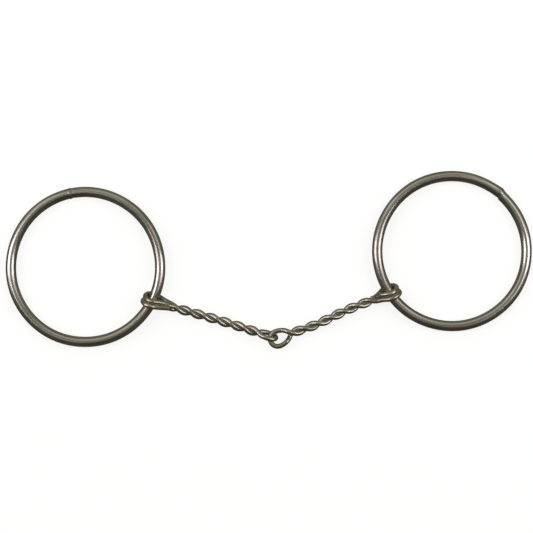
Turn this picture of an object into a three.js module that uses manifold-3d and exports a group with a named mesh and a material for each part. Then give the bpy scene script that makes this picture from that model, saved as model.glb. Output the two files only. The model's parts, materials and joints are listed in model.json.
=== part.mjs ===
// Loose-ring snaffle bit with a single-jointed mouthpiece of twisted wire, lying flat on a table.
//
// Each mouthpiece half is one length of steel wire. It is folded at its middle, which makes the
// single-wire eye at the centre of the mouth, its two strands are twisted together, and both strands
// then wrap side by side round the rod of a ring. The cut ends come back to the neck, where a bead of
// weld holds them. The two centre eyes are linked through each other like two links of a chain.
//
// Millimetres, +Z up. The origin is on the table, under the middle of the bit's own box. +X runs from
// the left ring to the right ring, and +Y from the mouthpiece's joint towards the rings.

import * as THREE from 'three';
import { mergeVertices } from 'three/addons/utils/BufferGeometryUtils.js';
import Module from 'manifold-3d';

const rad = THREE.MathUtils.degToRad;

// ---------------------------------------------------------------- driving dimensions

const RING_RADIUS = 37.5;            // of the rod's centreline: an 80 mm ring over all
const ROD_RADIUS = 2.6;              // round rod that each ring is bent from
const WIRE_RADIUS = 1.25;            // mouthpiece wire
const STRAND_GAP = 0.06;             // between the two strands of a twist

const HALF_TURNS = 6;                // of each twist, right-handed
const EYE_SLACK = 0.45;              // between the rod and the eye, over and under it
const EYE_ROLL = rad(22);            // each outer eye leans this much out of upright
const WRAP_END = rad(110);           // how far the wrap goes round the rod on each side
const LEAD_LENGTH = 6.5;             // over which strands side by side turn into the twist
const TAIL_HEIGHT = 2.7;             // of the cut ends over or under the twist's line
const TAIL_TURN = rad(50);           // of the two cut ends about the twist's line
const CUT_SKEW = 0.3;                // the two strands are cut this much longer and shorter

const BEAD_SIZE = [2.5, 1.95, 1.5];   // half lengths of the weld bead's lump
const BEAD_HEIGHT = 1.6;             // of the lump's middle over or under the twist's line
const BEAD_GAP = 0.3;                // between the bead's solid and the wire's solid

const RING_SIDES = 12;
const RING_STEPS = 96;
const WIRE_SIDES = 10;
const WIRE_STEPS = 168;

// The two halves are bent by hand, so their lengths differ a little. In each half's own frame x is 0 at
// the neck, where the twist begins, and grows towards the centre of the mouth; y is across and z is up.
const HALVES = {
    left: {
        ringCentre: [-91.35, -3.45], // in plan
        eyeBearing: rad(-26.4),      // of the outer eye, from the ring's centre
        neck: [-45, -24.25],         // in plan
        heading: rad(-16.7),         // of the twist, from +X
        twistLength: 42,
        bow: 0.3,                    // sideways curve of the whole twist
        sway: 0,                     // S-shaped curve of the twist
        endSlack: 0.25,              // between the rod and the eye, at its outer end
        roll: EYE_ROLL,
        cutSide: 1,                  // the cut ends lie on top
        cutReach: 9,                 // from the rod to the cut ends
        centreEye: { length: 9.1, swell: 3, fullness: 0.7, turn: rad(22), ease: 1.7, droop: 0 },
    },
    right: {
        ringCentre: [92, 4.5],
        eyeBearing: rad(213.6),
        neck: [51.7, -20.25],
        heading: rad(202.1),
        twistLength: 42.9,
        bow: 0.25,
        sway: 0.45,
        endSlack: 0.45,
        roll: -EYE_ROLL,
        cutSide: -1,                 // the cut ends lie underneath
        cutReach: 7.2,
        centreEye: { length: 11.5, swell: 4.2, fullness: 1.3, turn: rad(90), ease: 4.5, droop: 0.1 },
    },
};

// Lengths that follow from those.
const STRAND_RADIUS = WIRE_RADIUS + STRAND_GAP / 2;         // of each strand's line in the twist
const WRAP_RISE = ROD_RADIUS + EYE_SLACK + WIRE_RADIUS;     // of the wrap over the rod's line
const WRAP_HEIGHT = WRAP_RISE / Math.cos(EYE_ROLL);         // the same in the eye's own plane
const ROD_HEIGHT = WRAP_RISE + WIRE_RADIUS;                 // of the rod over the table, in an eye

// ---------------------------------------------------------------- the wire's path

// Runs from 0 to 1 as t does: it sets off at the given slope and arrives level.
function ease(t, slope = 0) {
    const u = THREE.MathUtils.clamp(t, 0, 1);
    return slope * u * (1 - u) ** 2 + u * u * (3 - 2 * u);
}

function spaced(from, to, count) {
    return Array.from({ length: count + 1 }, (_, i) => from + (to - from) * i / count);
}

// The middle of the two strands as they pass over (side 1) or under (side -1) the rod's near side, in
// the eye's own plane, from the wrap to the neck or to the cut ends.
function nearSide(half, side, end) {
    const wrapEnd = new THREE.Vector2(
        -half.reach - half.wrapReach * Math.cos(WRAP_END), side * WRAP_HEIGHT * Math.sin(WRAP_END));
    const away = new THREE.Vector2(
        half.wrapReach * Math.sin(WRAP_END), side * WRAP_HEIGHT * Math.cos(WRAP_END)).normalize();
    const pull = wrapEnd.distanceTo(end) / 3;
    return new THREE.CubicBezierCurve(
        wrapEnd, wrapEnd.clone().addScaledVector(away, pull),
        end.clone().add(new THREE.Vector2(-pull, 0)), end);
}

// One strand from the neck outwards, round the rod and back to its cut end. sign is 1 for the strand
// that is on top at the neck, and -1 for the other. The strands lie side by side along the rod.
function outerEye(half, sign) {
    // Across the pair of strands: angle lifts it out of the level, and skew is about the twist's line.
    function acrossAt(angle, skew) {
        const level = Math.cos(angle);
        return new THREE.Vector3(-Math.sin(skew) * level, Math.cos(skew) * level, Math.sin(angle));
    }

    function place(plane, along, across) {
        const roll = half.roll * ease(-plane.x / half.reach);
        const upright = new THREE.Vector3(0, -Math.sin(roll), Math.cos(roll));
        const travel = new THREE.Vector3(along.x, 0, 0).addScaledVector(upright, along.y).normalize();
        const beside = across.clone().projectOnPlane(travel).normalize();
        const out = half.rodOffset * ease(-plane.x / half.reach);
        return new THREE.Vector3(plane.x, out, 0)
            .addScaledVector(upright, plane.y)
            .addScaledVector(beside, sign * STRAND_RADIUS);
    }

    const twistSlope = 2 * HALF_TURNS * LEAD_LENGTH / half.twistLength;
    const lead = nearSide(half, -half.cutSide, new THREE.Vector2(0, 0));
    const leadPoints = spaced(1, 0, 14).map((t) => {
        const plane = lead.getPoint(t);
        const turned = ease(-plane.x / LEAD_LENGTH, twistSlope);
        const across = acrossAt(Math.PI / 2 * (1 - turned), half.rodSkew * turned);
        return place(plane, lead.getTangent(t), across);
    });
    const wrapPoints = spaced(-half.cutSide * WRAP_END, half.cutSide * WRAP_END, 20).map((angle) => {
        const [sin, cos] = [Math.sin(angle), Math.cos(angle)];
        const plane = new THREE.Vector2(-half.reach - half.wrapReach * cos, WRAP_HEIGHT * sin);
        const along = new THREE.Vector2(half.wrapReach * sin, WRAP_HEIGHT * cos);
        return place(plane, along, acrossAt(0, half.rodSkew));
    });
    const cutAt = half.cutReach - half.reach - sign * Math.sign(half.roll) * CUT_SKEW;
    const cut = new THREE.Vector2(cutAt, half.cutSide * TAIL_HEIGHT);
    const tail = nearSide(half, half.cutSide, cut);
    const tailPoints = spaced(0, 1, 8).map((t) => {
        const turned = ease(t);
        const across = acrossAt(-TAIL_TURN * turned, half.rodSkew * (1 - turned));
        return place(tail.getPoint(t), tail.getTangent(t), across);
    });
    return {
        lead: leadPoints,
        wrap: wrapPoints.slice(1, -1),
        tail: tailPoints,
    };
}

// One strand of the twist, from the neck to the centre eye.
function twist(half, sign) {
    return spaced(0, 1, 60).map((t) => {
        const angle = Math.PI * (1 / 2 + HALF_TURNS * t);
        const side = half.bow * Math.sin(Math.PI * t) - half.sway * Math.sin(2 * Math.PI * t);
        return new THREE.Vector3(
            half.twistLength * t,
            side + sign * STRAND_RADIUS * Math.cos(angle),
            sign * STRAND_RADIUS * Math.sin(angle));
    });
}

// How far the wire is from the middle of a centre eye, from angle 0 at the twist to PI at the far end.
function eyeWidth({ swell, fullness }, angle) {
    return STRAND_RADIUS * Math.cos(angle / 2)
        + swell * Math.sin(angle) * Math.sin(angle / 2) ** fullness;
}

// One side of the centre eye, from the end of the twist to the far end of the eye.
function centreEye(half, sign) {
    const { length, turn, ease: turnLength, droop } = half.centreEye;
    const twistSlope = Math.PI * HALF_TURNS * turnLength / half.twistLength / turn;
    return spaced(0, Math.PI, 18).map((angle) => {
        const x = length * (1 - Math.cos(angle)) / 2;
        const out = eyeWidth(half.centreEye, angle);
        const across = Math.PI / 2 + turn * ease(x / turnLength, twistSlope);
        return new THREE.Vector3(
            half.twistLength + x,
            droop * ease(x / length) + sign * out * Math.cos(across),
            sign * out * Math.sin(across));
    });
}

// The whole wire of a half, from one cut end to the other.
function wirePath(half) {
    const [top, under] = [1, -1].map((sign) => {
        const eye = outerEye(half, sign);
        return [
            ...eye.tail.toReversed(), ...eye.wrap.toReversed(), ...eye.lead.toReversed(),
            ...twist(half, sign).slice(1), ...centreEye(half, sign).slice(1),
        ];
    });
    return smoothLine([...top, ...under.toReversed().slice(1)]);
}

function smoothLine(points) {
    const line = new THREE.CatmullRomCurve3(points, false, 'centripetal');
    line.arcLengthDivisions = 12 * points.length;
    return line;
}

// ---------------------------------------------------------------- solids

function roundSection(radius, sides) {
    return Array.from({ length: sides }, (_, i) => {
        const angle = 2 * Math.PI * (i + 1 / 2) / sides;
        return new THREE.Vector2(radius * Math.cos(angle), radius * Math.sin(angle));
    });
}

function wireGeometry(line, radius, count) {
    return new THREE.ExtrudeGeometry(new THREE.Shape(roundSection(radius, WIRE_SIDES)), {
        extrudePath: line,
        steps: count,
        bevelEnabled: false,
    });
}

// A ring in its own plane, with its centre at the origin and its axis along z.
function ringGeometry() {
    const section = roundSection(ROD_RADIUS, RING_SIDES);
    const profile = section.map((corner) => corner.add(new THREE.Vector2(RING_RADIUS, 0)));
    return new THREE.LatheGeometry([...profile, profile[0].clone()], RING_STEPS).rotateX(Math.PI / 2);
}

const wasm = await Module();
wasm.setup();

function solidOf(geometry) {
    const bare = geometry.clone();
    bare.deleteAttribute('normal');
    bare.deleteAttribute('uv');
    const merged = mergeVertices(bare, 1e-3);
    return new wasm.Manifold(new wasm.Mesh({
        numProp: 3,
        vertProperties: merged.attributes.position.array,
        triVerts: new Uint32Array(merged.index.array),
    }));
}

function geometryOf(solid) {
    const mesh = solid.getMesh();
    const geometry = new THREE.BufferGeometry();
    geometry.setAttribute('position', new THREE.BufferAttribute(mesh.vertProperties, 3));
    geometry.setIndex(new THREE.BufferAttribute(mesh.triVerts, 1));
    return geometry.toNonIndexed();
}

// The lump of weld between the cut ends and the neck, hollowed where the wire runs through it.
function beadGeometry(half) {
    const [along, across, up] = BEAD_SIZE;
    const upright = new THREE.Vector3(0, -Math.sin(half.roll), Math.cos(half.roll));
    const middle = new THREE.Vector3(half.cutReach - half.reach + along / 2, 0, 0)
        .addScaledVector(upright, half.cutSide * BEAD_HEIGHT);
    const lump = new THREE.SphereGeometry(1, 20, 12)
        .scale(along, across, up)
        .rotateX(half.roll)
        .translate(...middle);
    let bead = solidOf(lump);
    for (const sign of [1, -1]) {
        const eye = outerEye(half, sign);
        const nearNeck = twist(half, sign).slice(1, 10);
        const [beforeCut, cut] = eye.tail.slice(-2);
        const pastCut = cut.clone().add(cut.clone().sub(beforeCut).setLength(BEAD_GAP));
        for (const points of [[...eye.tail, pastCut], [...eye.lead.toReversed(), ...nearNeck]]) {
            const path = smoothLine(points);
            bead = bead.subtract(solidOf(wireGeometry(path, WIRE_RADIUS + BEAD_GAP, 24)));
        }
    }
    const pieces = bead.decompose();
    pieces.sort((a, b) => b.volume() - a.volume());
    return geometryOf(pieces[0]);
}

// ---------------------------------------------------------------- materials

const ringSteel = new THREE.MeshStandardMaterial({ color: 0x8f8c88, roughness: 0.28, metalness: 1 });
const wireSteel = new THREE.MeshStandardMaterial({ color: 0x8a877a, roughness: 0.32, metalness: 1 });
const weldSteel = new THREE.MeshStandardMaterial({ color: 0xa29d96, roughness: 0.4, metalness: 1 });

// ---------------------------------------------------------------- assembly

function named(name, geometry, material) {
    const mesh = new THREE.Mesh(geometry, material);
    mesh.name = name;
    return mesh;
}

// A half rests on its outer eye and, at the centre of the mouth, on the left half's upright eye, so
// both halves slope down a little towards the centre.
const leftEye = HALVES.left.centreEye;
const leftEyeHalfWidth = Math.max(...spaced(0, Math.PI, 60).map((angle) => eyeWidth(leftEye, angle)));
const JOINT_HEIGHT = leftEyeHalfWidth * Math.cos(leftEye.turn) + WIRE_RADIUS;

function buildHalf(side) {
    const half = HALVES[side];

    // Where the ring's rod crosses the half, as the half sees it.
    const [cx, cy] = half.ringCentre;
    const crossing = new THREE.Vector2(
        cx + RING_RADIUS * Math.cos(half.eyeBearing) - half.neck[0],
        cy + RING_RADIUS * Math.sin(half.eyeBearing) - half.neck[1],
    ).rotateAround(new THREE.Vector2(0, 0), -half.heading);
    half.reach = -crossing.x;
    half.rodOffset = crossing.y;
    half.rodSkew = half.eyeBearing - half.heading;
    half.wrapReach = ROD_RADIUS + half.endSlack + WIRE_RADIUS;

    const span = half.reach + half.twistLength + half.centreEye.length / 2;
    const slope = Math.asin((ROD_HEIGHT - JOINT_HEIGHT) / span);
    const group = new THREE.Group();
    group.rotation.set(0, slope, half.heading, 'ZYX');
    group.position.set(...half.neck, ROD_HEIGHT - half.reach * Math.sin(slope));
    const wire = wireGeometry(wirePath(half), WIRE_RADIUS, WIRE_STEPS);
    group.add(named(`${side}_mouthpiece_wire`, wire, wireSteel));
    group.add(named(`${side}_neck_weld`, beadGeometry(half), weldSteel));
    group.updateMatrixWorld(true);

    // The ring's far side is down on the table.
    const rod = new THREE.Vector3(-half.reach, half.rodOffset, 0).applyMatrix4(group.matrixWorld);
    const tilt = Math.asin((rod.z - ROD_RADIUS) / (2 * RING_RADIUS));
    const ring = new THREE.Group();
    ring.rotation.set(0, -tilt, half.eyeBearing, 'ZYX');
    ring.position.copy(rod);
    const round = named(`${side}_ring`, ringGeometry(), ringSteel);
    round.position.x = -RING_RADIUS;
    ring.add(round);
    const axis = new THREE.Vector3(-Math.sin(half.eyeBearing), Math.cos(half.eyeBearing), 0);
    return { group, ring, swing: { at: rod, axis } };
}

const bit = new THREE.Group();
const left = buildHalf('left');
const right = buildHalf('right');
bit.add(left.group, left.ring, right.group, right.ring);

// The rings swing about their rods where they run through the outer eyes. The halves fold about the
// far end of the left half's centre eye.
const { twistLength, centreEye: { length: eyeLength } } = HALVES.left;
const joints = {
    left_ring_swing: left.swing,
    right_ring_swing: right.swing,
    centre_fold: {
        at: new THREE.Vector3(twistLength + eyeLength, 0, 0).applyMatrix4(left.group.matrixWorld),
        axis: new THREE.Vector3(0, 0, 1),
    },
};

const box = new THREE.Box3().setFromObject(bit, true);
const middle = box.getCenter(new THREE.Vector3());
const toOrigin = new THREE.Vector3(-middle.x, -middle.y, -box.min.z);
bit.position.copy(toOrigin);
for (const joint of Object.values(joints)) {
    joint.at.add(toOrigin);
}
bit.userData.joints = joints;

export default bit;
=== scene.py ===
"""Looks of a loose-ring snaffle bit with a twisted-wire mouthpiece, and its floor, light and camera.

The shapes follow the same formulas and dimensions as the CAD source, swept smoothly and in more detail.
The bit's lengths are millimetres, which new_piece turns into metres. The floor, the backdrop and the
lights are in metres.
"""

import json
import math

import bmesh
import bpy
import numpy as np
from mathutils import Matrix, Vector, noise


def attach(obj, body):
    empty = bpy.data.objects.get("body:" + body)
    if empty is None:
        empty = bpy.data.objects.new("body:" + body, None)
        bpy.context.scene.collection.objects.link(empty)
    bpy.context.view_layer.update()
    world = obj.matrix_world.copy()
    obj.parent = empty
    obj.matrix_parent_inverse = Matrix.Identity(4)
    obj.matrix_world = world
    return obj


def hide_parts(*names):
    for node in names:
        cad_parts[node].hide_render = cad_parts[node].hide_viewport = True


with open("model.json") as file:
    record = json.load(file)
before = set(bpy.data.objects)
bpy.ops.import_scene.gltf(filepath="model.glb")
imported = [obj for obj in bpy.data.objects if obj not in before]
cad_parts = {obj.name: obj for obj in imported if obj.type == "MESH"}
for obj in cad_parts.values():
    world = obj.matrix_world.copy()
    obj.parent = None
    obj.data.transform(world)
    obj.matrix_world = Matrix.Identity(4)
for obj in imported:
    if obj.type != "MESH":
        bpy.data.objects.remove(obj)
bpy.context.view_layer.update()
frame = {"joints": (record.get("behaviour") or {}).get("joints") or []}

MM = 0.001
rad = math.radians

# ---------------------------------------------------------------- dimensions, as in the CAD source

RING_RADIUS = 37.5                  # of the rod's centreline: an 80 mm ring over all
ROD_RADIUS = 2.6                    # round rod that each ring is bent from
WIRE_RADIUS = 1.25                  # mouthpiece wire
STRAND_GAP = 0.06                   # between the two strands of a twist
HALF_TURNS = 6                      # of each twist, right-handed
EYE_SLACK = 0.45                    # between the rod and the eye, over and under it
EYE_ROLL = rad(22)                  # each outer eye leans this much out of upright
WRAP_END = rad(110)                 # how far the wrap goes round the rod on each side
LEAD_LENGTH = 6.5                   # over which strands side by side turn into the twist
TAIL_HEIGHT = 2.7                   # of the cut ends over or under the twist's line
TAIL_TURN = rad(50)                 # of the two cut ends about the twist's line
CUT_SKEW = 0.3                      # the two strands are cut this much longer and shorter

# The two halves are bent by hand, so their lengths differ a little. In each half's own frame x is 0 at
# the neck, where the twist begins, and grows towards the centre of the mouth; y is across and z is up.
HALVES = {
    "left": {
        "ring_centre": (-91.35, -3.45),     # in plan
        "eye_bearing": rad(-26.4),          # of the outer eye, from the ring's centre
        "neck": (-45, -24.25),              # in plan
        "heading": rad(-16.7),              # of the twist, from +X
        "twist": 42,                        # length of the twist
        "bow": 0.3,                         # sideways curve of the whole twist
        "sway": 0,                          # S-shaped curve of the twist
        "end_slack": 0.25,                  # between the rod and the eye, at its outer end
        "roll": EYE_ROLL,
        "cut_side": 1,                      # the cut ends lie on top
        "cut_reach": 9,                     # from the rod to the cut ends
        "eye": {"length": 9.1, "swell": 3, "fullness": 0.7, "turn": rad(22), "ease": 1.7, "droop": 0},
    },
    "right": {
        "ring_centre": (92, 4.5),
        "eye_bearing": rad(213.6),
        "neck": (51.7, -20.25),
        "heading": rad(202.1),
        "twist": 42.9,
        "bow": 0.25,
        "sway": 0.45,
        "end_slack": 0.45,
        "roll": -EYE_ROLL,
        "cut_side": -1,                     # the cut ends lie underneath
        "cut_reach": 7.2,
        "eye": {"length": 11.5, "swell": 4.2, "fullness": 1.3, "turn": rad(90), "ease": 4.5, "droop": 0.1},
    },
}

STRAND_RADIUS = WIRE_RADIUS + STRAND_GAP / 2        # of each strand's line in the twist
WRAP_RISE = ROD_RADIUS + EYE_SLACK + WIRE_RADIUS    # of the wrap over the rod's line
WRAP_HEIGHT = WRAP_RISE / math.cos(EYE_ROLL)        # the same in the eye's own plane
ROD_HEIGHT = WRAP_RISE + WIRE_RADIUS                # of the rod over the table, in an eye

# ---------------------------------------------------------------- how finely the shapes are swept

LEAD_POINTS = 80
WRAP_POINTS = 160
TAIL_POINTS = 60
TWIST_POINTS = 420
CENTRE_EYE_POINTS = 150
EYE_WIDTH_POINTS = 61
WIRE_STEP = 0.2
WIRE_SIDES = 28
RING_SIDES = 40
RING_STEPS = 720

# The wire's small corners are rounded off in full near the neck and near the centre eye's mouth, this
# far each way, and by a small share elsewhere.
NECK_SOFTENED = 3.0
MOUTH_SOFTENED = 1.5
SOFTENED_ELSEWHERE = 0.15
SOFTENING_ROUNDS = 24

# ---------------------------------------------------------------- small helpers


def ease(t, slope=0.0):
    """Runs from 0 to 1 as t does: it sets off at the given slope and arrives level."""
    u = np.clip(t, 0, 1)
    return slope * u * (1 - u) ** 2 + u * u * (3 - 2 * u)


def unit(v):
    return v / np.linalg.norm(v, axis=-1, keepdims=True)


def bump_at(x, middle, width):
    return np.exp(-(((x - middle) / width) ** 2))


def turn_x(angle):
    c, s = math.cos(angle), math.sin(angle)
    return np.array([[1, 0, 0], [0, c, -s], [0, s, c]])


def turn_y(angle):
    c, s = math.cos(angle), math.sin(angle)
    return np.array([[c, 0, s], [0, 1, 0], [-s, 0, c]])


def turn_z(angle):
    c, s = math.cos(angle), math.sin(angle)
    return np.array([[c, -s, 0], [s, c, 0], [0, 0, 1]])


def joint_place(name):
    joint = next(j for j in frame["joints"] if j["name"] == name)
    return np.array(joint["pos_m"]) / MM


# ---------------------------------------------------------------- the wire's path, in a half's own frame


def near_side(half, side, end, t):
    """Points and tangents in the eye's plane, from the wrap to the neck or to the cut ends."""
    cos, sin = math.cos(WRAP_END), math.sin(WRAP_END)
    start = np.array([-half["reach"] - half["wrap_reach"] * cos, side * WRAP_HEIGHT * sin])
    away = unit(np.array([half["wrap_reach"] * sin, side * WRAP_HEIGHT * cos]))
    pull = np.linalg.norm(start - end) / 3
    pulled_start = start + away * pull
    pulled_end = end + np.array([-pull, 0])
    t = t[:, None]
    points = (
        start * (1 - t) ** 3 + 3 * pulled_start * t * (1 - t) ** 2
        + 3 * pulled_end * t * t * (1 - t) + end * t**3
    )
    slopes = (
        (pulled_start - start) * (1 - t) ** 2 + 2 * (pulled_end - pulled_start) * t * (1 - t)
        + (end - pulled_end) * t * t
    )
    return points, slopes


def outer_eye(half, sign):
    """One strand from the neck outwards, round the rod and back to its cut end.

    sign is 1 for the strand that is on top at the neck, and -1 for the other.
    """

    def across_at(angle, skew):
        level = np.cos(angle)
        return np.stack([-np.sin(skew) * level, np.cos(skew) * level, np.sin(angle)], 1)

    def place(plane, along, across):
        roll = half["roll"] * ease(-plane[:, 0] / half["reach"])
        zero = np.zeros_like(roll)
        upright = np.stack([zero, -np.sin(roll), np.cos(roll)], 1)
        travel = unit(np.stack([along[:, 0], zero, zero], 1) + upright * along[:, 1:])
        beside = unit(across - travel * np.sum(across * travel, 1)[:, None])
        out = half["rod_offset"] * ease(-plane[:, 0] / half["reach"])
        base = np.stack([plane[:, 0], out, zero], 1)
        return base + upright * plane[:, 1:] + beside * sign * STRAND_RADIUS

    twist_slope = 2 * HALF_TURNS * LEAD_LENGTH / half["twist"]
    t = np.linspace(1, 0, LEAD_POINTS)
    plane, along = near_side(half, -half["cut_side"], np.zeros(2), t)
    turned = ease(-plane[:, 0] / LEAD_LENGTH, twist_slope)
    lead = place(plane, along, across_at(math.pi / 2 * (1 - turned), half["rod_skew"] * turned))

    angle = np.linspace(-half["cut_side"] * WRAP_END, half["cut_side"] * WRAP_END, WRAP_POINTS)
    outwards = -half["reach"] - half["wrap_reach"] * np.cos(angle)
    plane = np.stack([outwards, WRAP_HEIGHT * np.sin(angle)], 1)
    along = np.stack([half["wrap_reach"] * np.sin(angle), WRAP_HEIGHT * np.cos(angle)], 1)
    wrap = place(plane, along, across_at(0 * angle, half["rod_skew"]))

    cut_at = half["cut_reach"] - half["reach"] - sign * math.copysign(CUT_SKEW, half["roll"])
    t = np.linspace(0, 1, TAIL_POINTS)
    cut_end = np.array([cut_at, half["cut_side"] * TAIL_HEIGHT])
    plane, along = near_side(half, half["cut_side"], cut_end, t)
    tail = place(plane, along, across_at(-TAIL_TURN * ease(t), half["rod_skew"] * (1 - ease(t))))
    return lead, wrap[1:-1], tail


def twist(half, sign):
    t = np.linspace(0, 1, TWIST_POINTS)
    angle = math.pi * (0.5 + HALF_TURNS * t)
    side = half["bow"] * np.sin(math.pi * t) - half["sway"] * np.sin(2 * math.pi * t)
    return np.stack([
        half["twist"] * t,
        side + sign * STRAND_RADIUS * np.cos(angle),
        sign * STRAND_RADIUS * np.sin(angle),
    ], 1)


def eye_width(eye, angle):
    swell = eye["swell"] * np.sin(angle) * np.sin(angle / 2) ** eye["fullness"]
    return STRAND_RADIUS * np.cos(angle / 2) + swell


def centre_eye(half, sign):
    eye = half["eye"]
    slope = math.pi * HALF_TURNS * eye["ease"] / half["twist"] / eye["turn"]
    angle = np.linspace(0, math.pi, CENTRE_EYE_POINTS)
    x = eye["length"] * (1 - np.cos(angle)) / 2
    out = eye_width(eye, angle)
    across = math.pi / 2 + eye["turn"] * ease(x / eye["ease"], slope)
    return np.stack([
        half["twist"] + x,
        eye["droop"] * ease(x / eye["length"]) + sign * out * np.cos(across),
        sign * out * np.sin(across),
    ], 1)


def evenly(points, step):
    """The same line with points at even steps."""
    lengths = np.concatenate([[0], np.cumsum(np.linalg.norm(np.diff(points, axis=0), axis=1))])
    at = np.linspace(0, lengths[-1], int(round(lengths[-1] / step)) + 1)
    return np.stack([np.interp(at, lengths, points[:, k]) for k in range(3)], 1)


def softened(points, weight, rounds):
    """The line with its small corners rounded off. Where weight is 1, a round goes half way to straight."""
    points = points.copy()
    for _ in range(rounds):
        middle = (points[:-2] + points[2:]) / 2
        points[1:-1] += (middle - points[1:-1]) * weight[1:-1, None] * 0.5
    return points


def wire_path(half):
    """The whole wire's line, from one cut end round the centre eye to the other."""
    sides = []
    for sign in (1, -1):
        lead, wrap, tail = outer_eye(half, sign)
        sides.append(np.concatenate([
            tail[::-1], wrap[::-1], lead[::-1], twist(half, sign)[1:], centre_eye(half, sign)[1:],
        ]))
    path = evenly(np.concatenate([sides[0], sides[1][::-1][1:]]), WIRE_STEP)
    corners = bump_at(path[:, 0], 0, NECK_SOFTENED) + bump_at(path[:, 0], half["twist"], MOUTH_SOFTENED)
    return softened(path, np.clip(corners + SOFTENED_ELSEWHERE, 0, 1), SOFTENING_ROUNDS)


# ---------------------------------------------------------------- meshes


def new_piece(name, vertices, faces, body, slot, material, *nodes):
    mesh = bpy.data.meshes.new(name)
    mesh.from_pydata((vertices * MM).tolist(), [], faces)
    mesh.validate()
    mesh.shade_smooth()
    mesh.materials.append(material)
    piece = bpy.data.objects.new(name, mesh)
    bpy.context.scene.collection.objects.link(piece)
    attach(piece, body)
    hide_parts(*nodes)
    return piece


def give(piece, name, values):
    """Gives every vertex a number or a vector that the material reads."""
    values = np.asarray(values, np.float32)
    kind, key = ("FLOAT_VECTOR", "vector") if values.ndim > 1 else ("FLOAT", "value")
    attribute = piece.data.attributes.new(name, kind, "POINT")
    attribute.data.foreach_set(key, values.ravel())


def grid_faces(rows, sides, closed):
    faces = []
    for i in range(rows if closed else rows - 1):
        a, b = i * sides, (i + 1) % rows * sides
        for j in range(sides):
            k = (j + 1) % sides
            faces.append((a + j, a + k, b + k, b + j))
    return faces


def carried_frames(path):
    """Two directions square to the line at each point, carried along it without twisting."""
    tangent = unit(np.gradient(path, axis=0))
    first = np.zeros_like(path)
    first[0] = unit(np.cross(tangent[0], [0.3, 0.2, 1]))
    for i in range(1, len(path)):
        v = first[i - 1] - tangent[i] * np.dot(first[i - 1], tangent[i])
        first[i] = v / np.linalg.norm(v)
    return tangent, first, np.cross(tangent, first)


def rough_noise(points, size, seed):
    """Smooth lumps of about the given size in millimetres, from -1 to 1, for each point."""
    shift = Vector((seed * 7.3, seed * 3.1, seed * 5.7))
    return np.array([noise.noise(Vector(p) / size + shift) for p in points])


# ---------------------------------------------------------------- rings

# Each ring's butt weld: its bearing in plan, how far its two ends are out of line, how deep its groove
# is, a collar raised round the rod and a nib on one side of it. Places run along the rod from the weld.
WELDS = {
    "left": {
        "bearing": rad(101.7),
        "step": 0.06,
        "groove": 0.14,
        "collar": {"height": 0.13, "at": 0.1, "width": 0.45},
        "nib": {"height": 0.24, "at": 0, "width": 0.6},
        "nib_side": -1,                     # on the ring's inside
    },
    "right": {
        "bearing": rad(50.7),
        "step": 0.42,
        "groove": 0.28,
        "collar": {"height": 0.25, "at": -0.3, "width": 1.7},
        "nib": {"height": 0.05, "at": 2.2, "width": 1.5},
        "nib_side": 1,                      # on the ring's outside
    },
}
STEP_AT = -1.1
STEP_WIDTH = 0.75
STEP_FADE = 9                       # length of rod over which the step dies away
GROOVE_AT = -1.0
GROOVE_WIDTH = 0.7
GROOVE_OUTSIDE = 0.35               # share of the groove's depth on the ring's outside
NIB_ELSEWHERE = 0.15                # share of the nib's height round the rest of the rod
OXIDE_AT = 0.4                      # middle of the oxide round a weld
WELD_REACH = 2.2                    # how far a weld's oxide and lumps spread
LUMP_HEIGHT = 0.045
LUMP_SIZE = 0.9
LUMP_LIMIT = 9                      # far enough from the weld for its lumps to have died away
LUMP_ROUND = 3                      # radius at which the lumps are taken round the rod

WORN_WIDTH = 3.5                    # across the rod, of the spot that rubs in the outer eye
WORN_LENGTH = 5                     # and along it


def raised(mark, s):
    return mark["height"] * bump_at(s, mark["at"], mark["width"])


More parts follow.
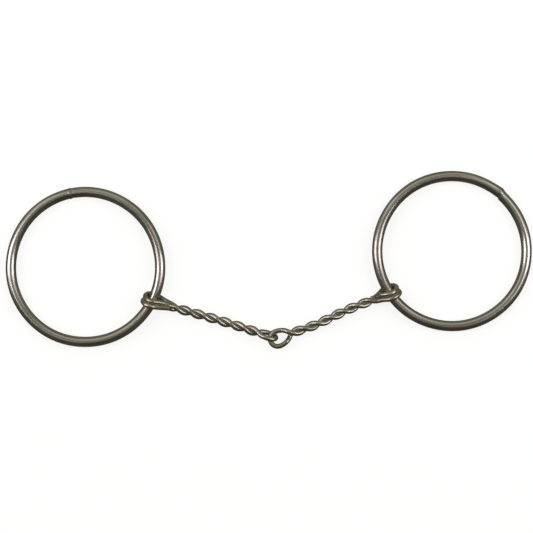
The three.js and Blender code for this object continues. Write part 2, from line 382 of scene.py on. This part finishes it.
def ring_vertices(side, half):
    """The rod's surface about the ring's own middle, the same unrolled, and how near its weld it is."""
    weld = WELDS[side]
    theta = np.linspace(0, 2 * math.pi, RING_STEPS, endpoint=False)
    around = np.linspace(0, 2 * math.pi, RING_SIDES, endpoint=False)
    t, a = np.meshgrid(theta, around, indexing="ij")
    from_weld = (t - (weld["bearing"] - half["eye_bearing"]) + math.pi) % (2 * math.pi) - math.pi
    s = from_weld * RING_RADIUS

    out_of_round = 0.05 * np.sin(3 * t + 1) + 0.03 * np.sin(7 * t)
    step = weld["step"] * (1 + np.tanh((s - STEP_AT) / STEP_WIDTH)) / 2
    centre = RING_RADIUS + out_of_round + step * np.exp(-np.clip(s, 0, None) / STEP_FADE)

    inner = np.clip(-np.cos(a), 0, 1)
    nib_side = np.clip(weld["nib_side"] * np.cos(a), 0, 1)
    groove = weld["groove"] * bump_at(s, GROOVE_AT, GROOVE_WIDTH)
    uneven = 0.008 * np.sin(5 * t + 2 * a)
    near_weld = (np.abs(s) < LUMP_LIMIT)[..., None]
    spots = np.stack([s, LUMP_ROUND * np.cos(a), LUMP_ROUND * np.sin(a)], -1) * near_weld
    lumps = rough_noise(spots.reshape(-1, 3), LUMP_SIZE, seed=2).reshape(s.shape)
    radius = (
        ROD_RADIUS
        - groove * (GROOVE_OUTSIDE + (1 - GROOVE_OUTSIDE) * inner)
        + raised(weld["collar"], s) * (1 - inner)
        + raised(weld["nib"], s) * (NIB_ELSEWHERE + (1 - NIB_ELSEWHERE) * nib_side)
        + LUMP_HEIGHT * lumps * bump_at(s, 0, WELD_REACH)
        + uneven
    )

    x = (centre + radius * np.cos(a)) * np.cos(t)
    y = (centre + radius * np.cos(a)) * np.sin(t)
    z = radius * np.sin(a)
    local = np.stack([x, y, z], -1).reshape(-1, 3)
    unrolled = np.stack([RING_RADIUS * t, ROD_RADIUS * np.cos(a), ROD_RADIUS * np.sin(a)], -1)
    return local, unrolled.reshape(-1, 3), bump_at(s, OXIDE_AT, WELD_REACH).ravel()


def make_ring(side, half, material):
    """A ring of round rod, raised by its eye on one side and resting on the table on the other."""
    tilt = math.asin((ROD_HEIGHT - ROD_RADIUS) / (2 * RING_RADIUS))
    turn = turn_z(half["eye_bearing"]) @ turn_y(-tilt)
    local, rod, weld = ring_vertices(side, half)
    vertices = (local - np.array([RING_RADIUS, 0, 0])) @ turn.T + half["crossing"]
    piece = new_piece(
        f"{side}_ring_rod", vertices, grid_faces(RING_STEPS, RING_SIDES, True),
        f"{side}_ring", "ring_steel", material, f"{side}_ring",
    )
    give(piece, "rod", rod)
    give(piece, "weld", weld)
    worn = bump_at(local[:, 0], RING_RADIUS, WORN_WIDTH) * bump_at(local[:, 1], 0, WORN_LENGTH)
    give(piece, "worn", worn)


# ---------------------------------------------------------------- mouthpiece wires

# Shallow flats left by pliers: places along the wire from its start, or back from its end if negative.
PLIER_MARKS = (8.2, 14.5, 31.0, -9.4, -16.2, -33.5)
PLIER_TURN = 1.9                    # radians round the wire from each mark to the next
PLIER_DEPTH = 0.07
PLIER_WIDTH = 0.9
PLIER_SHARPNESS = 6                 # the higher, the narrower the flat is round the wire

CUT_PINCH = 0.10                    # share of the radius that the cutters press in at the ends
CUT_PINCH_REACH = 0.35
CUT_LOOPS = ((0.8, 0.10), (0.45, 0.22), (0.12, 0.28))   # share of the wire's radius, and push outwards

NEIGHBOUR_REACH = 7                 # beyond this a stretch of wire makes no crevice
OWN_STRETCH = 3.5                   # length of wire each way that makes no crevice with itself
CREVICE_REACH = 1.5
NECK_STAIN_AT = 6.3                 # from the rod
NECK_STAIN_WIDTH = 3.5


def nearest_other(points, path, index):
    """How far each surface point is from the surface of a stretch of the wire that isn't its own."""
    gap = np.full(len(points), np.inf)
    rows = np.arange(len(path))
    for i in np.unique(index):
        own = index == i
        others = path[np.abs(rows - i) > int(OWN_STRETCH / WIRE_STEP)]
        near = others[np.linalg.norm(others - path[i], axis=1) < NEIGHBOUR_REACH]
        if len(near):
            d = np.linalg.norm(points[own][:, None] - near[None], axis=2).min(1)
            gap[own] = d - WIRE_RADIUS
    return gap


def wire_radii(along, around):
    """The wire's radius all over it: pliers leave flats on it and cutters pinch its ends."""
    radius = np.full((len(along), len(around)), WIRE_RADIUS)
    for k, mark in enumerate(PLIER_MARKS):
        at = mark if mark > 0 else along[-1] + mark
        facing = np.clip(np.cos(around - k * PLIER_TURN), 0, 1) ** PLIER_SHARPNESS
        radius -= PLIER_DEPTH * bump_at(along, at, PLIER_WIDTH)[:, None] * facing
    from_end = np.minimum(along, along[-1] - along)
    return radius * (1 - CUT_PINCH * np.exp(-from_end / CUT_PINCH_REACH))[:, None]


def pinched_end(middle, outwards, direction, around):
    """Loops of vertices that close a cut end with a ridge across it."""
    ridge = np.abs(np.cos(around))
    return [
        middle + direction * WIRE_RADIUS * share
        + outwards * (push * (1 - 0.5 * share * ridge))[:, None]
        for share, push in CUT_LOOPS
    ]


def closing_faces(rim, count, way):
    """Faces from the rim over the new loops, whose vertices are numbered from count, to a lid.

    way is 1 at the wire's last point, and -1 at its first, where the faces are turned over.
    """
    faces = []
    for first in range(count, count + len(CUT_LOOPS) * WIRE_SIDES, WIRE_SIDES):
        loop = list(range(first, first + WIRE_SIDES))
        for j in range(WIRE_SIDES):
            k = (j + 1) % WIRE_SIDES
            faces.append((rim[j], rim[k], loop[k], loop[j])[::way])
        rim = loop
    return faces + [tuple(rim[::way])]


def make_wire(side, half, material):
    """A mouthpiece half's wire, from one cut end to the other."""
    path = wire_path(half)
    tangent, first, second = carried_frames(path)
    n = len(path)
    around = np.linspace(0, 2 * math.pi, WIRE_SIDES, endpoint=False)
    direction = (
        first[:, None] * np.cos(around)[None, :, None] + second[:, None] * np.sin(around)[None, :, None]
    )
    along = np.arange(n) * WIRE_STEP
    skin = (path[:, None] + direction * wire_radii(along, around)[..., None]).reshape(-1, 3)
    gap = nearest_other(skin, path, np.repeat(np.arange(n), WIRE_SIDES))

    caps, faces = [], grid_faces(n, WIRE_SIDES, False)
    for row, way in ((0, -1), (n - 1, 1)):
        rim = list(range(row * WIRE_SIDES, (row + 1) * WIRE_SIDES))
        faces += closing_faces(rim, len(skin) + len(caps) * WIRE_SIDES, way)
        caps += pinched_end(path[row], tangent[row] * way, direction[row], around)
    caps = np.concatenate(caps)

    vertices = np.concatenate([skin, caps]) @ half["turn"].T + half["origin"]
    piece = new_piece(
        f"{side}_mouthpiece_strands", vertices, faces,
        f"{side}_mouthpiece", "wire_steel", material, f"{side}_mouthpiece_wire",
    )
    rod = np.stack([
        np.repeat(along, WIRE_SIDES),
        WIRE_RADIUS * np.tile(np.cos(around), n),
        WIRE_RADIUS * np.tile(np.sin(around), n),
    ], 1)
    x = np.repeat(path[:, 0], WIRE_SIDES)
    cut_x = np.full(len(caps), -half["reach"] + half["cut_reach"])
    neck = bump_at(np.concatenate([x, cut_x]), NECK_STAIN_AT - half["reach"], NECK_STAIN_WIDTH)
    # Nearness to another stretch of the wire. The wire material paints shade and olive reflection there,
    # with some tarnish.
    crevice = np.clip(1 - gap / CREVICE_REACH, 0, 1)
    give(piece, "rod", np.concatenate([rod, caps]))
    give(piece, "crevice", np.concatenate([crevice, np.zeros(len(caps))]))
    give(piece, "cut", np.concatenate([np.zeros(len(skin)), np.ones(len(caps))]))
    give(piece, "neck", neck)


# ---------------------------------------------------------------- neck welds

# The melted lumps of a bead: each one's middle, from the cut ends on the twist's line, and half sizes.
BEAD_LUMPS = (
    ((0.9, 1.2, 1.9), (1.15, 0.95, 0.95)),
    ((2.6, 1.15, 1.75), (1.3, 1.05, 0.95)),
    ((1.9, -0.7, 1.6), (1.2, 0.9, 0.9)),
    ((3.6, 0.2, 1.1), (1.1, 1.1, 0.8)),
    ((1.7, 0.4, 1.0), (1.9, 1.5, 1.1)),
)
BEAD_VOXEL = 0.13
MELT_FACTOR = 0.6
MELT_ROUNDS = 7
RIPPLE_HEIGHT = 0.03
RIPPLE_RATE = 5.2                   # radians for each millimetre along the bead
RIPPLE_WANDER = 1.5                 # radians
BEAD_ROUGHNESS = 0.05


def melted_lumps(half):
    """The lumps joined and melted together: points and normals in the half's own frame, and faces."""
    bm = bmesh.new()
    lean = turn_x(half["roll"])
    cut_at = half["cut_reach"] - half["reach"]
    for (x, y, z), size in BEAD_LUMPS:
        middle = (cut_at + x, y, z * half["cut_side"])
        made = bmesh.ops.create_icosphere(bm, subdivisions=4, radius=1)
        for v in made["verts"]:
            v.co = lean @ (np.array(v.co) * size + middle)
    mesh = bpy.data.meshes.new("bead_draft")
    bm.to_mesh(mesh)
    bm.free()
    draft = bpy.data.objects.new("bead_draft", mesh)
    bpy.context.scene.collection.objects.link(draft)
    remesh = draft.modifiers.new("join", "REMESH")
    remesh.mode = "VOXEL"
    remesh.voxel_size = BEAD_VOXEL
    smooth = draft.modifiers.new("melt", "SMOOTH")
    smooth.factor = MELT_FACTOR
    smooth.iterations = MELT_ROUNDS
    melted = draft.evaluated_get(bpy.context.evaluated_depsgraph_get()).to_mesh()
    points = np.array([v.co for v in melted.vertices])
    normals = np.array([v.normal for v in melted.vertices])
    faces = [tuple(p.vertices) for p in melted.polygons]
    bpy.data.objects.remove(draft)
    return points, normals, faces


def make_bead(side, half, material):
    """A lumpy bead of filler, fused over the neck between the cut ends and the twist."""
    points, normals, faces = melted_lumps(half)
    wander = RIPPLE_WANDER * rough_noise(points, 1.4, seed=5)
    ripple = RIPPLE_HEIGHT * np.sin(points[:, 0] * RIPPLE_RATE + wander)
    points = points + normals * (BEAD_ROUGHNESS * rough_noise(points, 0.8, seed=3) + ripple)[:, None]
    piece = new_piece(
        f"{side}_neck_bead", points @ half["turn"].T + half["origin"], faces,
        f"{side}_mouthpiece", "weld_steel", material, f"{side}_neck_weld",
    )
    give(piece, "rod", points)


# ---------------------------------------------------------------- materials


class Nodes:
    """A material's node tree, with short ways to add what these materials need."""

    def __init__(self, name):
        self.material = bpy.data.materials.new(name)
        self.material.use_nodes = True
        self.tree = self.material.node_tree
        self.tree.nodes.clear()
        self.shader = self.tree.nodes.new("ShaderNodeBsdfPrincipled")
        out = self.tree.nodes.new("ShaderNodeOutputMaterial")
        self.join(self.shader.outputs["BSDF"], out.inputs["Surface"])
        self.shader.inputs["Metallic"].default_value = 1.0

    def join(self, a, b):
        self.tree.links.new(a, b)

    def attribute(self, name, vector=False):
        node = self.tree.nodes.new("ShaderNodeAttribute")
        node.attribute_name = name
        return node.outputs["Vector" if vector else "Fac"]

    def stretched(self, vector, scale):
        node = self.tree.nodes.new("ShaderNodeMapping")
        self.join(vector, node.inputs["Vector"])
        node.inputs["Scale"].default_value = scale
        return node.outputs["Vector"]

    def noise(self, vector, scale, detail=3.0, rough=0.55, distortion=0.0):
        node = self.tree.nodes.new("ShaderNodeTexNoise")
        self.join(vector, node.inputs["Vector"])
        node.inputs["Scale"].default_value = scale
        node.inputs["Detail"].default_value = detail
        node.inputs["Roughness"].default_value = rough
        node.inputs["Distortion"].default_value = distortion
        return node.outputs["Fac"]

    def cells(self, vector, scale):
        node = self.tree.nodes.new("ShaderNodeTexVoronoi")
        self.join(vector, node.inputs["Vector"])
        node.inputs["Scale"].default_value = scale
        return node.outputs["Distance"]

    def ranged(self, value, start, end, low=0.0, high=1.0):
        """Goes smoothly from low to high while the value goes from start to end."""
        node = self.tree.nodes.new("ShaderNodeMapRange")
        node.interpolation_type = "SMOOTHSTEP"
        self.join(value, node.inputs["Value"])
        for socket, number in zip(("From Min", "From Max", "To Min", "To Max"), (start, end, low, high)):
            node.inputs[socket].default_value = number
        return node.outputs["Result"]

    def maths(self, operation, a, b):
        node = self.tree.nodes.new("ShaderNodeMath")
        node.operation = operation
        for socket, value in zip(node.inputs, (a, b)):
            if isinstance(value, (int, float)):
                socket.default_value = value
            else:
                self.join(value, socket)
        return node.outputs["Value"]

    def blend(self, factor, a, b):
        node = self.tree.nodes.new("ShaderNodeMix")
        node.data_type = "RGBA"
        self.join(factor, node.inputs["Factor"])
        for socket, value in (("A", a), ("B", b)):
            target = next(s for s in node.inputs if s.name == socket and s.type == "RGBA")
            if isinstance(value, tuple):
                target.default_value = (*value, 1.0)
            else:
                self.join(value, target)
        return next(s for s in node.outputs if s.type == "RGBA")

    def bump(self, height, distance, strength):
        node = self.tree.nodes.new("ShaderNodeBump")
        node.inputs["Distance"].default_value = distance * MM
        node.inputs["Strength"].default_value = strength
        self.join(height, node.inputs["Height"])
        return node.outputs["Normal"]

    def less_metal(self, amount):
        self.join(self.maths("SUBTRACT", 1.0, amount), self.shader.inputs["Metallic"])

    def finish(self, colour, roughness, normal):
        self.join(colour, self.shader.inputs["Base Color"])
        self.join(roughness, self.shader.inputs["Roughness"])
        self.join(normal, self.shader.inputs["Normal"])
        return self.material


def steel(name, warm, cool, stain, roughness, extras):
    """Drawn steel: lines and stained streaks along the rod, hazy patches, nicks and pits.

    extras(n, rod, colour, rough, height) adds what only this steel has and gives the last three back.
    """
    n = Nodes(name)
    rod = n.attribute("rod", vector=True)
    lines = n.noise(n.stretched(rod, (0.02, 1.0, 1.0)), scale=1.9, detail=3.0)
    fine = n.noise(n.stretched(rod, (0.04, 1.0, 1.0)), scale=9.0, detail=2.0)
    streaks = n.noise(n.stretched(rod, (0.025, 1.0, 1.0)), scale=0.85, detail=2.0)
    haze = n.noise(rod, scale=0.16, detail=3.0, rough=0.5, distortion=0.4)
    scratches = n.noise(n.stretched(rod, (2.2, 0.25, 0.25)), scale=2.6, detail=2.0)
    pits = n.cells(rod, scale=0.8)

    colour = n.blend(n.ranged(lines, 0.35, 0.65), cool, warm)
    colour = n.blend(n.ranged(haze, 0.5, 0.78, high=0.25), colour, stain)
    colour = n.blend(n.ranged(streaks, 0.46, 0.58, high=0.5), colour, stain)
    colour = n.blend(n.ranged(pits, 0.03, 0.08, low=0.5, high=0.0), colour, stain)
    rough = n.ranged(haze, 0.3, 0.75, low=roughness * 0.8, high=roughness * 1.3)
    rough = n.maths("ADD", rough, n.ranged(fine, 0.3, 0.7, low=-0.03, high=0.04))
    height = n.maths("ADD", n.maths("MULTIPLY", fine, 0.05), n.maths("MULTIPLY", lines, 0.2))
    height = n.maths("ADD", height, n.ranged(scratches, 0.66, 0.74, high=-0.15))
    height = n.maths("ADD", height, n.ranged(pits, 0.0, 0.08, low=-0.8, high=0.0))
    colour, rough, height = extras(n, rod, colour, rough, height)
    return n.finish(colour, rough, n.bump(height, distance=0.03, strength=0.4))


WELD_OXIDE = (0.24, 0.205, 0.16)
# The crevice colour is painted shade and painted olive reflection between the strands, mixed with some
# tarnish.
CREVICE_SHADE_AND_TARNISH = (0.36, 0.31, 0.19)
NECK_STAIN = (0.27, 0.245, 0.15)
RAW_CUT = (0.2, 0.19, 0.17)
BEAD_OXIDE = (0.26, 0.20, 0.14)


def ring_extras(n, rod, colour, rough, height):
    """Oxide round the butt weld, and a smoother spot where the ring rubs in its eye."""
    grain = n.noise(rod, scale=2.4, detail=5.0, rough=0.65)
    oxide = n.maths("MULTIPLY", n.attribute("weld"), n.ranged(grain, 0.35, 0.65))
    colour = n.blend(n.maths("MULTIPLY", oxide, 0.55), colour, WELD_OXIDE)
    rough = n.maths("ADD", rough, n.maths("MULTIPLY", oxide, 0.18))
    height = n.maths("ADD", height, n.maths("MULTIPLY", oxide, 0.7))
    rough = n.maths("SUBTRACT", rough, n.maths("MULTIPLY", n.attribute("worn"), 0.08))
    return colour, rough, height


def wire_extras(n, rod, colour, rough, height):
    """Painted shade and painted olive reflection between the strands, with some tarnish, where the wire is
    also made less metallic; a stain on the neck; and raw cut ends.
    """
    mottle = n.noise(rod, scale=0.9, detail=4.0, rough=0.6)
    # Where the wire nears another stretch of itself, it is darkened to an olive colour as painted shade and
    # reflection, with some tarnish. It is also made less metallic there, so it reads as dim lit olive.
    between = n.ranged(n.attribute("crevice"), 0.42, 0.95)
    deep = n.maths("MULTIPLY", between, n.ranged(mottle, 0.2, 0.6, low=0.75))
    colour = n.blend(n.maths("MULTIPLY", deep, 0.8), colour, CREVICE_SHADE_AND_TARNISH)
    rough = n.maths("ADD", rough, n.maths("MULTIPLY", deep, 0.45))
    tint = n.maths("MULTIPLY", n.attribute("neck"), n.ranged(mottle, 0.35, 0.7, low=0.5, high=0.95))
    colour = n.blend(tint, colour, NECK_STAIN)
    n.less_metal(n.maths("MAXIMUM", n.maths("MULTIPLY", deep, 0.8), n.maths("MULTIPLY", tint, 0.3)))
    cut = n.attribute("cut")
    colour = n.blend(n.maths("MULTIPLY", cut, 0.6), colour, RAW_CUT)
    rough = n.maths("ADD", rough, n.maths("MULTIPLY", cut, 0.2))
    return colour, rough, n.maths("MULTIPLY", height, 0.5)


def bead_extras(n, rod, colour, rough, height):
    """Patches of oxide over a coarse melted grain."""
    grain = n.noise(rod, scale=1.6, detail=5.0, rough=0.65)
    colour = n.blend(n.ranged(grain, 0.5, 0.72, high=0.5), colour, BEAD_OXIDE)
    rough = n.maths("ADD", rough, n.ranged(grain, 0.3, 0.7, low=-0.02, high=0.2))
    height = n.maths("ADD", height, n.maths("MULTIPLY", grain, 0.5))
    return colour, rough, height


ring_steel = steel(
    "ring_steel", warm=(0.69, 0.625, 0.625), cool=(0.60, 0.605, 0.56), stain=(0.30, 0.26, 0.20),
    roughness=0.21, extras=ring_extras,
)
wire_steel = steel(
    "wire_steel", warm=(0.68, 0.62, 0.58), cool=(0.61, 0.60, 0.51), stain=(0.28, 0.24, 0.165),
    roughness=0.25, extras=wire_extras,
)
weld_steel = steel(
    "weld_steel", warm=(0.78, 0.72, 0.70), cool=(0.70, 0.67, 0.62), stain=(0.3, 0.26, 0.2),
    roughness=0.22, extras=bead_extras,
)

# ---------------------------------------------------------------- assembly


def joint_height():
    """Height of the linked centre eyes' middle: the left eye's widest stretch rests on the table."""
    eye = HALVES["left"]["eye"]
    half_width = float(np.max(eye_width(eye, np.linspace(0, math.pi, EYE_WIDTH_POINTS))))
    return half_width * math.cos(eye["turn"]) + WIRE_RADIUS


def set_out(side, half):
    """Adds to a half's dimensions where its rod lies, and how its own frame is turned and placed."""
    (cx, cy), (nx, ny) = half["ring_centre"], half["neck"]
    to_rod = np.array([
        cx + RING_RADIUS * math.cos(half["eye_bearing"]) - nx,
        cy + RING_RADIUS * math.sin(half["eye_bearing"]) - ny,
        0,
    ])
    x, y, _ = turn_z(-half["heading"]) @ to_rod
    half["reach"] = -x
    half["rod_offset"] = y
    half["rod_skew"] = half["eye_bearing"] - half["heading"]
    half["wrap_reach"] = ROD_RADIUS + half["end_slack"] + WIRE_RADIUS
    span = half["reach"] + half["twist"] + half["eye"]["length"] / 2
    slope = math.asin((ROD_HEIGHT - joint_height()) / span)
    half["turn"] = turn_z(half["heading"]) @ turn_y(slope)
    half["crossing"] = joint_place(f"{side}_ring_swing")
    half["origin"] = half["crossing"] - half["turn"] @ np.array([-half["reach"], half["rod_offset"], 0])


for side, half in HALVES.items():
    set_out(side, half)
    make_ring(side, half, ring_steel)
    make_wire(side, half, wire_steel)
    make_bead(side, half, weld_steel)

# ---------------------------------------------------------------- floor and light, in metres

FLOOR_HALF_SIZE = 5.8
FLOOR_GREY = 0.4
FLOOR_GLOW = 0.83
BACKDROP_RADIUS = 6
BACKDROP_GLOW = 0.96

SOFTBOX_RIGHT_LIGHT = (0.97, 0.93, 1.0)
SOFTBOX_LEFT_LIGHT = (0.97, 0.92, 1.0)
WARM_LIGHT = (1.0, 0.99, 0.84)
PALE_LIGHT = (1.0, 0.99, 0.88)
ROOM_LIGHT = (1.0, 0.99, 0.76)
ROOM_FRONT, ROOM_BACK = -0.9, 1.1           # where the room's light starts and stops growing
ROOM_DARKEST, ROOM_LIGHTEST = 0.061, 0.175


def plain(name, grey, glow):
    """A dull grey surface with a glow of its own."""
    material = bpy.data.materials.new(name)
    material.use_nodes = True
    shader = material.node_tree.nodes["Principled BSDF"]
    shader.inputs["Base Color"].default_value = (grey, grey, grey, 1)
    shader.inputs["Roughness"].default_value = 1.0
    shader.inputs["Specular IOR Level"].default_value = 0.0
    shader.inputs["Emission Color"].default_value = (1, 1, 1, 1)
    shader.inputs["Emission Strength"].default_value = glow
    return material


def stage_mesh(name, bm, material):
    mesh = bpy.data.meshes.new(name)
    bm.to_mesh(mesh)
    bm.free()
    mesh.materials.append(material)
    obj = bpy.data.objects.new(name, mesh)
    bpy.context.scene.collection.objects.link(obj)
    obj.visible_glossy = False
    return obj


def make_floor():
    bm = bmesh.new()
    bmesh.ops.create_grid(bm, x_segments=1, y_segments=1, size=FLOOR_HALF_SIZE)
    stage_mesh("floor", bm, plain("floor", FLOOR_GREY, FLOOR_GLOW))


def make_backdrop():
    bm = bmesh.new()
    bmesh.ops.create_uvsphere(bm, u_segments=48, v_segments=24, radius=BACKDROP_RADIUS)
    backdrop = stage_mesh("backdrop", bm, plain("backdrop", 0, BACKDROP_GLOW))
    backdrop.visible_diffuse = False
    backdrop.visible_shadow = False


def softbox(name, place, size, radiance, colour):
    """A rectangular light that faces the bit. The first of its two sizes is level with the floor."""
    light = bpy.data.lights.new(name, "AREA")
    light.shape = "RECTANGLE"
    light.size, light.size_y = size
    light.energy = radiance * math.pi * size[0] * size[1]
    light.color = colour
    box = bpy.data.objects.new(name, light)
    bpy.context.scene.collection.objects.link(box)
    box.location = place
    box.rotation_euler = Vector(place).to_track_quat("Z", "Y").to_euler()
    box.visible_camera = False


def light_room():
    """The room is darkest in front of the bit and lightest behind it."""
    world = bpy.data.worlds.new("studio")
    bpy.context.scene.world = world
    world.use_nodes = True
    room = world.node_tree
    background = room.nodes["Background"]
    background.inputs["Color"].default_value = (*ROOM_LIGHT, 1)
    direction = room.nodes.new("ShaderNodeTexCoord")
    split = room.nodes.new("ShaderNodeSeparateXYZ")
    strength = room.nodes.new("ShaderNodeMapRange")
    strength.interpolation_type = "SMOOTHSTEP"
    strength.inputs["From Min"].default_value = ROOM_FRONT
    strength.inputs["From Max"].default_value = ROOM_BACK
    strength.inputs["To Min"].default_value = ROOM_DARKEST
    strength.inputs["To Max"].default_value = ROOM_LIGHTEST
    room.links.new(direction.outputs["Generated"], split.inputs["Vector"])
    room.links.new(split.outputs["Y"], strength.inputs["Value"])
    room.links.new(strength.outputs["Result"], background.inputs["Strength"])


make_floor()
make_backdrop()
softbox("softbox_right", (1.45, 0.06, 1.4), (0.58, 1.5), 2.8, SOFTBOX_RIGHT_LIGHT)
softbox("softbox_left", (-1.45, 0.14, 1.4), (0.64, 1.5), 2.8, SOFTBOX_LEFT_LIGHT)
softbox("fill_back", (-0.26, 1.5, 1.35), (3.0, 1.4), 0.28, WARM_LIGHT)
softbox("fill_left_back", (-1.15, 0.96, 1.35), (0.9, 1.4), 0.35, WARM_LIGHT)
softbox("fill_right_back", (0.50, 0.34, 0.60), (0.32, 0.42), 0.60, PALE_LIGHT)
softbox("ceiling", (0, 0, 3.2), (2.4, 2.4), 0.16, WARM_LIGHT)
light_room()
bpy.context.scene.view_settings.view_transform = "Standard"

# ---------------------------------------------------------------- camera, straight above

LENS = 100
SENSOR_WIDTH = 36
FRAME_WIDTH = 266.5                 # of the view, at the height of the rods' middle
VIEW_CENTRE = (-1.08, -3.3, 4.0)
NEAREST, FURTHEST = 0.01, 60        # that the camera sees, in metres

camera = bpy.data.cameras.new("camera")
camera.lens = LENS
camera.sensor_width = SENSOR_WIDTH
camera.clip_start, camera.clip_end = NEAREST, FURTHEST
eye = bpy.data.objects.new("camera", camera)
bpy.context.scene.collection.objects.link(eye)
distance = LENS * FRAME_WIDTH / SENSOR_WIDTH
eye.location = [c * MM for c in (VIEW_CENTRE[0], VIEW_CENTRE[1], VIEW_CENTRE[2] + distance)]
bpy.context.scene.camera = eye
